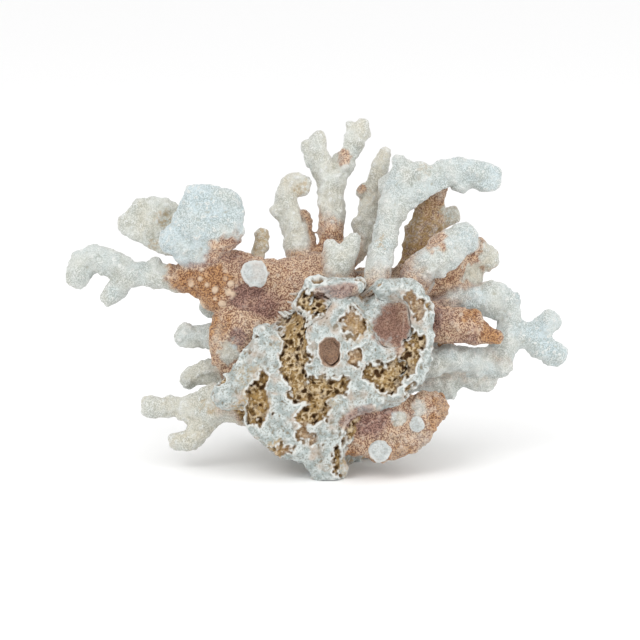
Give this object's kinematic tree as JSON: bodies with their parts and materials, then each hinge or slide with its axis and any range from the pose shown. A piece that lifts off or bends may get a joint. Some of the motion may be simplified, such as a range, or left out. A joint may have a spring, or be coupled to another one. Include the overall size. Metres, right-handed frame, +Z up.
{
  "type": "branching coral specimen",
  "caption": "Bleached branching coral colony with an eroded holdfast, forked finger branches and blade-like plates, standing on its flat cut as a display piece.",
  "frame": {"origin": "centre of the bounding box, on the flat cut that the coral stands on", "axes": "+Z up, +X along the width with the eroded face towards -Y, and the hidden crown towards +Y"},
  "size_m": [0.2522, 0.1184, 0.17],
  "materials": {
    "bleached_coral": "dry white coral skeleton, closely dotted with small cups",
    "blushed_coral": "dry pink-brown coral skeleton with paler cups, white at the tips",
    "eroded_crust": "worn white crust over porous tan ground, chalky and matt"
  },
  "bodies": {
    "root": {"holdfast": "eroded_crust", "lower_flap": "blushed_coral", "left_trunk": "blushed_coral", "left_lower_plate": "blushed_coral", "upper_plate": "blushed_coral", "right_trunk": "blushed_coral", "rear_left_blade": "bleached_coral", "front_left_blade": "bleached_coral", "left_antler": "bleached_coral", "left_under_lobe": "bleached_coral", "left_stub": "bleached_coral", "left_hook": "bleached_coral", "lower_left_branch": "bleached_coral", "small_finger": "bleached_coral", "upper_left_hook": "bleached_coral", "upper_rear_finger": "blushed_coral", "tall_fork": "bleached_coral", "front_fork": "bleached_coral", "slender_blade": "bleached_coral", "right_column": "bleached_coral", "reaching_arm": "bleached_coral", "tan_blade": "blushed_coral", "upper_right_limb": "bleached_coral", "second_right_limb": "blushed_coral", "pink_tongue": "blushed_coral", "right_fan": "bleached_coral", "far_right_antler": "bleached_coral", "lower_right_limb": "bleached_coral", "inner_spur": "blushed_coral", "lowest_right_limb": "bleached_coral", "crown_upper_left": "blushed_coral", "crown_upper_middle": "blushed_coral", "crown_upper_right": "blushed_coral", "crown_right": "blushed_coral", "crown_left": "blushed_coral", "crown_middle": "blushed_coral", "crown_middle_right": "blushed_coral", "crown_lower_right": "blushed_coral", "crown_lower_left": "blushed_coral", "crown_lower_middle": "blushed_coral"}
  },
  "joints": []
}
